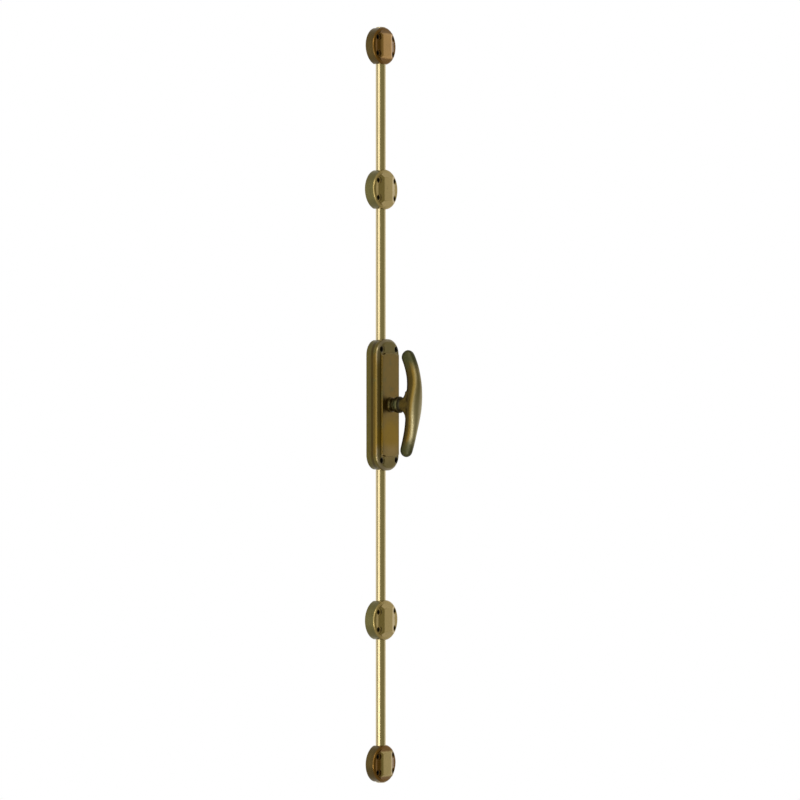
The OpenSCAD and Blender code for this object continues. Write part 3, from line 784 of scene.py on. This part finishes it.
bead_back = handle_low[2]
neck_back = bead_back + BEAD_LEN
grip_back = peak_out - GRIP_HALF_T
handle = skin("crescent_handle", grip_rings)
flare_back = grip_back - FLARE_R
flare = turned("flare", [(NECK_R + FLARE_R * (1 - math.cos(t)), flare_back + FLARE_R * math.sin(t))
                         for t in quarter(8)]
               + [(NECK_R + FLARE_R, grip_back + GRIP_HALF_T * FLARE_SINK)])
slab = stack("slab", plain_box(GRIP_HALF_W * SLAB_SHARE, GRIP_UPPER_END), [(0, neck_back), (0, peak_out)])
combine(flare, [slab], "INTERSECT")
neck = turned("neck", [(NECK_R, neck_back - NECK_LAP), (NECK_R, peak_out - GRIP_HALF_T * NECK_SINK)])
combine(handle, [neck, flare], "UNION")
melt = handle.modifiers.new("melt", "REMESH")
melt.mode = "VOXEL"
melt.voxel_size = VOXEL * MM
fettle = handle.modifiers.new("fettle", "SMOOTH")
fettle.factor = 0.5
fettle.iterations = FETTLING
settle(handle)
print("melted handle:", len(handle.data.polygons), "faces")

# %% [markdown]
# The bead at the foot of the neck is crisp, so it is joined after the melting. A low foot under it closes
# the view through the gap in which it turns. Then the square hole for the spindle and the hole of the set
# screw, which comes up from below, are cut.

# %% Bead and bores
BEAD_R = 10.5
BEAD_EDGE = 2.5
BEAD_FOOT = 0.25
FOOT_STEP = 1.5
SQUARE_HALF = 3.5
SPINDLE_SPARE = 0.3
SCREW_SIDES = 32

flat_r = BEAD_R - BEAD_EDGE
foot_r = flat_r - FOOT_STEP
bead_front = round_over((0, neck_back - BEAD_EDGE), (BEAD_EDGE, neck_back), 8)
bead = turned("bead", [(foot_r, bead_back - BEAD_FOOT), (foot_r, bead_back)]
              + [(flat_r + BEAD_EDGE * math.sin(t), bead_back + BEAD_EDGE * (1 - math.cos(t)))
                 for t in quarter(8)]
              + [(BEAD_R - inward, height) for inward, height in bead_front])
combine(handle, [bead], "UNION")
screw_low, screw_high = extent("handle_set_screw")
screw_bore_r = (screw_high[0] - screw_low[0]) / 2 + RUN_FIT
square_bore = stack("square_bore", plain_box(SQUARE_HALF + RUN_FIT, SQUARE_HALF + RUN_FIT),
                    [(0, bead_back - SPARE), (0, spindle_high[2] + SPINDLE_SPARE)])
screw_bore = stack("screw_bore", circle(screw_bore_r, SCREW_SIDES, (0, bead_back + BEAD_LEN / 2)),
                   [(0, -BEAD_R - SPARE), (0, 0)], lambda x, out, up: on_door(x, up, out))
combine(handle, [square_bore, screw_bore], "DIFFERENCE")
stand_for(handle, "handle", "turning_handle")

# %% [markdown]
# Every finish starts and ends alike: the piece's own coordinates go in, and a Principled shader comes out,
# with a bump for the surface and a thin coat for the lacquer. Two functions say that once for all finishes.

# %% Start and end of a finish
COAT_ROUGHNESS = 0.28


def start_finish(name):
    """A new material with an empty tree, and a strand with the piece's own coordinates."""
    finish = bpy.data.materials.new(name)
    finish.use_nodes = True
    finish.node_tree.nodes.clear()
    place = Strand(finish.node_tree).node("ShaderNodeTexCoord", out="Object")
    return finish, place


def show(shader):
    """Links a shader to its material's output."""
    output = shader.tree.nodes.new("ShaderNodeOutputMaterial")
    shader.tree.links.new(shader.socket, output.inputs["Surface"])


def end_finish(place, tint, metallic, roughness, height, bump_mm, strength, coat):
    """Feeds a metal's Principled shader, with a lacquer coat on top, and the material's output."""
    normal = place.node("ShaderNodeBump", {},
                        {"Strength": strength, "Distance": bump_mm * MM, "Height": height})
    show(place.node("ShaderNodeBsdfPrincipled", {},
                    {"Base Color": tint, "Metallic": metallic, "Roughness": roughness, "Normal": normal,
                     "Coat Weight": coat, "Coat Roughness": COAT_ROUGHNESS}))


print("finishes: none yet")

# %% [markdown]
# Antique brass is new brass that was darkened with a chemical, rubbed back by hand and waxed. High edges
# come out golden, and hollows keep a nearly black wax. Two Ambient Occlusion nodes find the places: rays
# that go out and soon hit something mark a hollow, and rays that go inward and soon leave the metal mark an
# edge. The screw holes are too wide for the first, so they are marked by their places and painted black as
# shade.

# %% Wear, wax and hole shade
DEEP = 1000
HOLE_FADE = (1.5, 1.2)


def hollows(place, reach_mm):
    sky = place.node("ShaderNodeAmbientOcclusion", {"samples": 8, "only_local": True},
                     {"Distance": reach_mm * MM}, "AO")
    return 1 - sky


def edges(place, reach_mm):
    depth = place.node("ShaderNodeAmbientOcclusion", {"samples": 8, "only_local": True, "inside": True},
                       {"Distance": reach_mm * MM}, "AO")
    return 1 - depth


def painted_hole_shade(place):
    """Marks the screw holes for painted shade; they all lie alike left and right and above and below the
    spindle.
    """
    folded = place.node("ShaderNodeVectorMath", {"operation": "ABSOLUTE"}, {0: place})
    marks = 0
    for mount in mounts.values():
        if "hole_r_mm" not in mount["dims"] or mount["pos_m"][2] < 0:
            continue
        holes, radius = hole_places(mount["name"])
        middle = mount["pos_m"][2] / MM
        for x, y in sorted({(abs(x), y + middle) for x, y in holes if y + middle > 0}):
            away = folded.reach(on_door(x, y, 0), on_door(radius, radius, DEEP))
            marks = marks + away.ramp(*HOLE_FADE)
    return marks


print("wear and wax: hollows, edges, screw holes")

# %% [markdown]
# The broad faces of the case stay olive brown. Low on its walls and at its ends, where no cloth reaches, the
# brass is greener. Behind the front edge a dark line of painted shade runs along the wall, and the edge
# itself gets dull painted shade in the middle and a pale painted highlight towards its ends. Below the
# handle, knuckles have rubbed the panel warm. All this could be painted by hand on an image. Here each tint
# is a mask by place that mixes one more colour over what lies under it, which stays sharp at any distance,
# and a stray of noise keeps every border uneven.

# %% Tints of the case
def colour(red, green, blue):
    return (red, green, blue, 1)


GREEN_BRASS = colour(0.117, 0.100, 0.030)
SHADE_AND_FRECKLE_BRASS = colour(0.055, 0.037, 0.007)
RIM_SHADE_BRASS = colour(0.132, 0.096, 0.034)
RIM_END_HIGHLIGHT = colour(0.22, 0.183, 0.115)
HAND_BRASS = colour(0.208, 0.126, 0.005)
RUBBED_BRASS = colour(0.265, 0.197, 0.095)
MOSTLY = 0.85
LOW_WALL = (10, 6)
CASE_ENDS = (60, 68)
WALL_SHADE_BAND = ((6.6, 8.8), (12.7, 11.0))
FRONT_EDGE = ((15.5, 17.5), (20.3, 19.7))
EDGE_ENDS = (46, 60)
END_STRAY = 10
KNUCKLES = on_door(0, -41, 22)
KNUCKLE_REACH = on_door(30, 31, 12)
KNUCKLE_FADE = (1.15, 0.3)
PALER_BELOW = (-45, -60)


def case_tint(place, out, stray, on_case, body):
    height = place.axis("Z")
    from_middle = height.size() + stray * (END_STRAY * MM)
    body = (out.step(*LOW_WALL) * MOSTLY).mix(body, GREEN_BRASS)
    body = (from_middle.step(*CASE_ENDS) * on_case * 0.7).mix(body, GREEN_BRASS)
    # Painted shade: a dark band along the walls behind the front edge.
    body = (out.between(*WALL_SHADE_BAND) * (MOSTLY + stray * 0.6)).mix(body, SHADE_AND_FRECKLE_BRASS)
    # Painted shade in the middle of the front edge and a painted highlight towards its ends.
    rim_shade_and_highlight = from_middle.step(*EDGE_ENDS).mix(RIM_SHADE_BRASS, RIM_END_HIGHLIGHT)
    body = (out.between(*FRONT_EDGE) * on_case * MOSTLY).mix(body, rim_shade_and_highlight)
    rubbed = (place.reach(KNUCKLES, KNUCKLE_REACH) + stray * 0.4).ramp(*KNUCKLE_FADE) * on_case
    return rubbed.mix(body, (height.step(*PALER_BELOW) * 0.5).mix(HAND_BRASS, RUBBED_BRASS))


print("tints: case")

# %% [markdown]
# The grip tells of use. Its back, towards the door, is painted dark as shade. Its front is rubbed pale, most
# of all on the lower arm where the palm pulls, and its two tips are dull and green. How far a point lies in
# front of the middle line follows from the two bows on which the grip was built.

# %% Tints of the grip
GRIP_BRASS = colour(0.24, 0.213, 0.12)
PALM_BRASS = colour(0.40, 0.35, 0.22)
TIP_BRASS = colour(0.052, 0.057, 0.022)
BOW_CHANGE = (0, 0.5)
UPPER_ARM = (-15, 30)
GRIP_STRAY = 2
UPPER_SHIFT = 2.5
GRIP_BACK_SHADE = (1, -2)
FRONT_OF_GRIP = (1, 5)
PALM_SIDE = (3, 8)


def grip_depth(place):
    """How far a point lies in front of the grip's middle line, which bends more above its peak."""
    rise = place.axis("Z") - GRIP_PEAK * MM
    lower = 0.5 / (GRIP_LOWER_R * MM)
    upper = 0.5 / (GRIP_UPPER_R * MM)
    bow = rise.step(*BOW_CHANGE) * (upper - lower) + lower
    return rise * rise * bow - place.axis("Y") - peak_out * MM


def grip_tint(place, stray, on_grip, tips, body):
    above = place.axis("Z").step(*UPPER_ARM)
    depth = grip_depth(place) + stray * (GRIP_STRAY * MM) - above * (UPPER_SHIFT * MM)
    # Painted shade: the back of the grip, towards the door, is darkened.
    body = (depth.step(*GRIP_BACK_SHADE) * on_grip * MOSTLY).mix(body, SHADE_AND_FRECKLE_BRASS)
    body = (depth.step(*FRONT_OF_GRIP) * on_grip * (MOSTLY - above * 0.4)).mix(body, GRIP_BRASS)
    body = (depth.step(*PALM_SIDE) * on_grip * (0.6 - above * 0.3)).mix(body, PALM_BRASS)
    return (tips * 0.9).mix(body, TIP_BRASS)


print("tints: grip")

# %% [markdown]
# The guides are lighter than the case, with rubbed fronts and greener sides. The two end guides are browner
# on slope and side, and the upper one in front as well. Heights are counted down from each guide's own top.

# %% Tints of the guides
GUIDE_FRONT = colour(0.375, 0.29, 0.118)
GUIDE_SIDE = colour(0.165, 0.15, 0.06)
END_FRONT = colour(0.445, 0.26, 0.092)
END_SLOPE = colour(0.15, 0.068, 0.009)
END_SIDE = colour(0.108, 0.072, 0.024)
END_GUIDES = (380, 400)
GUIDE_SLOPE = (0.6, 1.8)
GUIDE_WALL = (4.5, 6.5)
GUIDE_STRAY = 1.2


def guide_tint(place, out, stray):
    height = place.axis("Z")
    at_end = height.size().step(*END_GUIDES)
    guide_top = extent("upper_guide")[1][2] * MM
    end_drop = guide_top - extent("upper_end_guide")[1][2] * MM
    below_top = guide_top - out - at_end * end_drop + stray * (GUIDE_STRAY * MM)
    front = height.step(*END_GUIDES).mix(GUIDE_FRONT, END_FRONT)
    slope = at_end.mix(GUIDE_FRONT, END_SLOPE)
    side = at_end.mix(GUIDE_SIDE, END_SIDE)
    return below_top.step(*GUIDE_WALL).mix(below_top.step(*GUIDE_SLOPE).mix(front, slope), side)


print("tints: guides")

# %% [markdown]
# No hand or cloth reaches the stem between panel and grip, so it has gone green, and its collar is tinted
# almost black. The top and bottom of its round are painted near black as shade. The joint between bead and
# neck holds a line of wax.

# %% Tints of the stem
VERDIGRIS = colour(0.06, 0.073, 0.036)
COLLAR_GREEN = colour(0.022, 0.024, 0.011)
DARK_WAX_AND_SHADE = colour(0.02, 0.015, 0.007)
STEM_MIDDLE = on_door(0, 0, 32)
STEM_REACH = on_door(12.5, 12.5, 13)
STEM_FADE = (1.15, 0.75)
COLLAR = (30, 28)
STEM_EDGE_SHADE = (3.5, 7.5)
JOINT_SHIFT = 0.7
JOINT_WIDTH = (2.4, 0.8)
NECK_REACH = on_door(13, 13, DEEP)
NECK_FADE = (1.1, 0.9)


def stem_tint(place, out, stray, body):
    damp = (place.reach(STEM_MIDDLE, STEM_REACH) + stray * 0.6).ramp(*STEM_FADE)
    stem = out.step(*COLLAR).mix(VERDIGRIS, COLLAR_GREEN)
    # Painted shade: the top and bottom of the stem's round are darkened near black.
    stem = place.axis("Z").size().step(*STEM_EDGE_SHADE).mix(stem, DARK_WAX_AND_SHADE)
    return (damp * 0.75).mix(body, stem)


def neck_joint(place, out):
    """Marks the line where the neck meets the bead."""
    on_stem = place.reach(on_door(0, 0, 0), NECK_REACH).ramp(*NECK_FADE)
    return (out - (neck_back + JOINT_SHIFT) * MM).size().step(*JOINT_WIDTH) * on_stem


print("tints: stem")

# %% [markdown]
# Now the finish is put together: clouds of warmer and greener metal, the tints of each piece with their
# painted shade and highlights, small dark freckles, rubbed edges, and wax with painted shade in the screw
# holes. Where a guide's wall is thin over the rod, the inward rays would take it for an edge, so the wear is
# held off there. Fine brushing runs upwards along all castings, and the grip and its tips are duller than
# the rest.

# %% Antique brass
OLIVE_BRASS = colour(0.157, 0.103, 0.019)
WARM_BRASS = colour(0.175, 0.104, 0.016)
GUIDES_FROM = (200, 210)
CASE_FRONT = (24.5, 23.5)
GRIP_FROM = (30, 34)
GRIP_TIPS = (40, 58)
TIP_STRAY = 20
OVER_ROD = (7.5, 5.5)
WEAR_REACH = 1.6
WAX_REACH = 2.4
CLOUDED = (0.45, 0.75)
GREENED = (0.52, 0.75)
FRECKLED = (0.58, 0.72)
WORN = (0.15, 0.6)
WAXED = (0.38, 0.95)


def antique_brass():
    finish, place = start_finish("antique_brass")
    clouds = place.noise(35)
    drift = place.noise(12, detail=4, roughness=0.6)
    freckles = place.noise(3.5, detail=4, roughness=0.7).ramp(*FRECKLED)
    grain = place.noise(1.1, detail=2, roughness=0.5)
    brushing = place.noise(0.9, detail=2, roughness=0.6, stretch=(1, 1, 0.05))
    stray = drift - 0.5
    out = 0 - place.axis("Y")
    from_middle = place.axis("Z").size()
    on_guide = from_middle.step(*GUIDES_FROM)
    on_case = out.step(*CASE_FRONT) * (1 - on_guide)
    on_grip = out.step(*GRIP_FROM)
    tips = (from_middle + stray * (TIP_STRAY * MM)).step(*GRIP_TIPS) * on_grip
    over_rod = place.axis("X").size().step(*OVER_ROD) * on_guide
    worn = (edges(place, WEAR_REACH) + stray * 0.5).ramp(*WORN) * MOSTLY * (1 - over_rod)
    wax_and_hole_shade = (hollows(place, WAX_REACH) + stray * 0.3).ramp(*WAXED) * (1 - on_case * 0.4)
    # Painted shade in the screw holes, on top of the wax in the hollows.
    wax_and_hole_shade = wax_and_hole_shade.math("MAXIMUM", wax_and_hole_shade, painted_hole_shade(place) + neck_joint(place, out) * 0.8)
    body = clouds.ramp(*CLOUDED).mix(OLIVE_BRASS, WARM_BRASS)
    body = drift.ramp(*GREENED).mix(body, GREEN_BRASS)
    body = case_tint(place, out, stray, on_case, body)
    body = grip_tint(place, stray, on_grip, tips, body)
    body = (on_guide * MOSTLY).mix(body, guide_tint(place, out, stray))
    body = stem_tint(place, out, stray, body)
    body = (freckles * 0.3).mix(body, SHADE_AND_FRECKLE_BRASS)
    tint = wax_and_hole_shade.mix(worn.mix(body, RUBBED_BRASS), DARK_WAX_AND_SHADE)
    roughness = 0.37 + stray * 0.16 + (brushing - 0.5) * 0.1 - worn * 0.09 + wax_and_hole_shade * 0.2
    roughness = roughness + on_grip * 0.07 + tips * 0.2 + freckles * 0.06
    height = grain * 0.6 + brushing * 0.4 + drift * 2.0
    end_finish(place, tint, 1 - wax_and_hole_shade * 0.35, roughness, height, bump_mm=0.05, strength=0.5, coat=0.12)
    return finish


finishes = {"antique_brass": antique_brass()}
print("finish: antique_brass,", len(finishes["antique_brass"].node_tree.nodes), "nodes")

# %% [markdown]
# The rods are the same metal, but drawn and polished, so they are lighter and far more mirror-like. Drawing
# leaves fine lines along the bar, and sliding through the guides keeps them clean.

# %% Drawn brass
ROD_BRASS = colour(0.50, 0.415, 0.23)
ROD_TARNISH = colour(0.36, 0.28, 0.13)
TARNISHED = (0.5, 0.85)
SPECKLED = (0.6, 0.78)


def drawn_brass():
    finish, place = start_finish("rod_brass")
    along = place.noise(0.6, roughness=0.6, stretch=(1, 1, 0.004))
    clouds = place.noise(50, roughness=0.6, stretch=(1, 1, 0.5))
    specks = place.noise(4, detail=4, roughness=0.7).ramp(*SPECKLED)
    tarnish = clouds.ramp(*TARNISHED) * 0.4 + specks * 0.12
    tint = tarnish.mix(ROD_BRASS, ROD_TARNISH)
    roughness = 0.27 + (along - 0.5) * 0.06 + tarnish * 0.08
    end_finish(place, tint, 1.0, roughness, along, bump_mm=0.004, strength=0.08, coat=0.5)
    return finish


finishes["rod_brass"] = drawn_brass()
print("finish: rod_brass")

# %% [markdown]
# Inside, racks, pinion and washers are machined bronze with the mill's fine lines and a film of dark oil in
# the corners. The plated screws, spindle and back plate have zinc's pale, slightly cloudy skin, and the
# pins, key and springs are blackened steel with bare edges. One recipe makes all three.

# %% Inner metals
# Colour, bare edges, oily corners, roughness, and the way the machining lines run.
INNER_METALS = {
    "bearing_bronze": (colour(0.46, 0.27, 0.11), colour(0.72, 0.47, 0.22), colour(0.05, 0.03, 0.015),
                       0.34, (1, 1, 0.06)),
    "plated_steel": (colour(0.52, 0.53, 0.54), colour(0.72, 0.72, 0.72), colour(0.10, 0.09, 0.07),
                     0.36, (0.08, 1, 1)),
    "spring_steel": (colour(0.06, 0.06, 0.065), colour(0.36, 0.36, 0.37), colour(0.02, 0.017, 0.013),
                     0.4, (1, 1, 0.1)),
}
CLOUD_SHADE = 0.78
CLOUDY = (0.35, 0.7)
OILY = (0.3, 0.8)
BARE_REACH = 0.6
OIL_REACH = 3


def inner_metal(name, base, bare, oil, dullness, line_stretch):
    finish, place = start_finish(name)
    lines = place.noise(0.7, roughness=0.6, stretch=line_stretch)
    clouds = place.noise(6, detail=4, roughness=0.6)
    stray = clouds - 0.5
    worn = (edges(place, BARE_REACH) + stray * 0.4).ramp(*WORN)
    oily = (hollows(place, OIL_REACH) + stray * 0.4).ramp(*OILY)
    shaded = colour(*[share * CLOUD_SHADE for share in base[:3]])
    cloudy = clouds.ramp(*CLOUDY).mix(base, shaded)
    tint = oily.mix(worn.mix(cloudy, bare), oil)
    roughness = dullness + (lines - 0.5) * 0.2 + stray * 0.12 - worn * 0.06 + oily * 0.1
    end_finish(place, tint, 1.0, roughness, lines + clouds * 0.5, bump_mm=0.03, strength=0.5, coat=0.0)
    return finish


for name, recipe in INNER_METALS.items():
    finishes[name] = inner_metal(name, *recipe)
print("finishes:", sorted(finishes))

# %% [markdown]
# The record says which material slot each solid takes, and the pieces that stand for solids follow it. The
# inner solids stay as they are. Welding their points and bevelling their edges by a tenth of a millimetre,
# with modifiers that leave the mesh itself alone, gives them the broken edges that any machined piece has.

# %% Finish every piece
EDGE_BREAK = 0.12
EDGE_ANGLE = math.radians(40)

for part in frame["record"]["subparts"]:
    node, slot = part["node"], part["material_slot"]
    piece = pieces.get(node, frame["nodes"][node])
    piece.data.materials.clear()
    piece.data.materials.append(finishes[slot])
    if node in pieces:
        continue
    weld = piece.modifiers.new("weld", "WELD")
    weld.merge_threshold = WELD * MM
    bevel = piece.modifiers.new("broken_edges", "BEVEL")
    bevel.width = EDGE_BREAK * MM
    bevel.segments = 2
    bevel.limit_method = "ANGLE"
    bevel.angle_limit = EDGE_ANGLE
    bevel.harden_normals = True

# %% [markdown]
# The floor is a pale disc below the bolt, outside the photographed view. Its edge fades out so that it melts
# into the white background from any side. Metal would mirror it, so it is kept out of reflections.

# %% Floor
FLOOR_DROP = 150
FLOOR_RADIUS = 800
FLOOR_THICKNESS = 2
FLOOR_SIDES = 96
FLOOR_FADE = (0.25 * FLOOR_RADIUS, FLOOR_RADIUS)
PAPER = colour(0.93, 0.93, 0.92)
PAPER_GLOW = colour(1, 1, 0.985)

floor_level = solid_box[0].z / MM - FLOOR_DROP
floor = turned("floor", [(FLOOR_RADIUS, floor_level - FLOOR_THICKNESS), (FLOOR_RADIUS, floor_level)],
               lambda x, y, up: on_door(x, up, y), FLOOR_SIDES)
paper, paper_place = start_finish("paper")
flat = paper_place.vector("MULTIPLY", paper_place, (1, 1, 0))
far = flat.reach((0, 0, 0), (1, 1, 1))
show(paper_place.node("ShaderNodeBsdfPrincipled", {},
                      {"Base Color": PAPER, "Roughness": 0.9, "Emission Color": PAPER_GLOW,
                       "Emission Strength": 0.5, "Alpha": 1 - far.step(*FLOOR_FADE)}))
floor.data.materials.append(paper)
floor.visible_glossy = False
floor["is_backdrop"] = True
print("floor:", round(floor_level), "mm")

# %% [markdown]
# Last, the dressed bolt's box is printed beside the solid model's, so that any change of size shows.

# %% Sizes
dressed_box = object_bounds()
for label, box in (("solid", solid_box), ("dressed", dressed_box)):
    print(label, [[round(value, 4) for value in corner] for corner in box])
